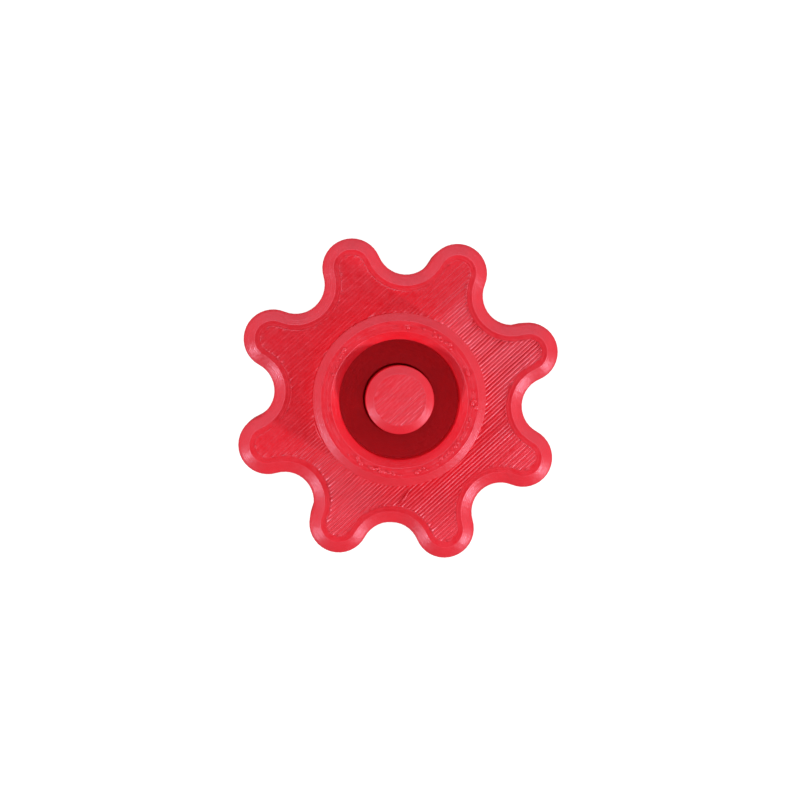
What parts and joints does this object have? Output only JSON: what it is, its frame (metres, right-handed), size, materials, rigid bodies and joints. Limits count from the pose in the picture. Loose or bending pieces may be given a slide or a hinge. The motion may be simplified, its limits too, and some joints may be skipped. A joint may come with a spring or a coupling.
{
  "type": "extruder feed wheel",
  "caption": "Round-lobed printed hand wheel with a collar and a deep well, turning on a ball bearing round a fixed central post.",
  "frame": {"origin": "centre of the rear mounting face, on the wheel's axis", "axes": "+Z along the wheel's axis, from the mounting face to the collar; +X through the middle of one valley"},
  "size_m": [0.0394, 0.0394, 0.0206],
  "materials": {
    "red_print": "satin red printed plastic with 0.2 mm layer lines and 45 degree top lines",
    "ring_steel": "ground bearing steel",
    "ball_steel": "polished bearing steel",
    "pressed_steel": "pressed sheet steel",
    "spring_steel": "dark phosphated spring steel",
    "spacer_aluminium": "turned aluminium",
    "insert_brass": "knurled brass"
  },
  "bodies": {
    "axle": {"axle_post": "red_print", "thread_insert": "insert_brass", "rear_spacer": "spacer_aluminium", "bearing_inner_ring": "ring_steel"},
    "ball_set": {"bearing_balls": "ball_steel", "cage_front_half": "pressed_steel", "cage_rear_half": "pressed_steel", "cage_rivets": "pressed_steel"},
    "wheel": {"lobed_wheel": "red_print", "bearing_outer_ring": "ring_steel", "front_shield": "pressed_steel", "rear_shield": "pressed_steel", "retaining_ring": "spring_steel"}
  },
  "joints": [
    {"name": "wheel_spin", "type": "hinge", "parent": "axle", "child": "wheel", "pos_m": [0, 0, 0.0066], "axis": [0, 0, 1], "continuous": true},
    {"name": "ball_set_spin", "type": "hinge", "parent": "axle", "child": "ball_set", "pos_m": [0, 0, 0.0066], "axis": [0, 0, 1], "continuous": true}
  ],
  "couplings": [
    {"joint": "ball_set_spin", "follows": "wheel_spin", "ratio": 0.6323}
  ]
}
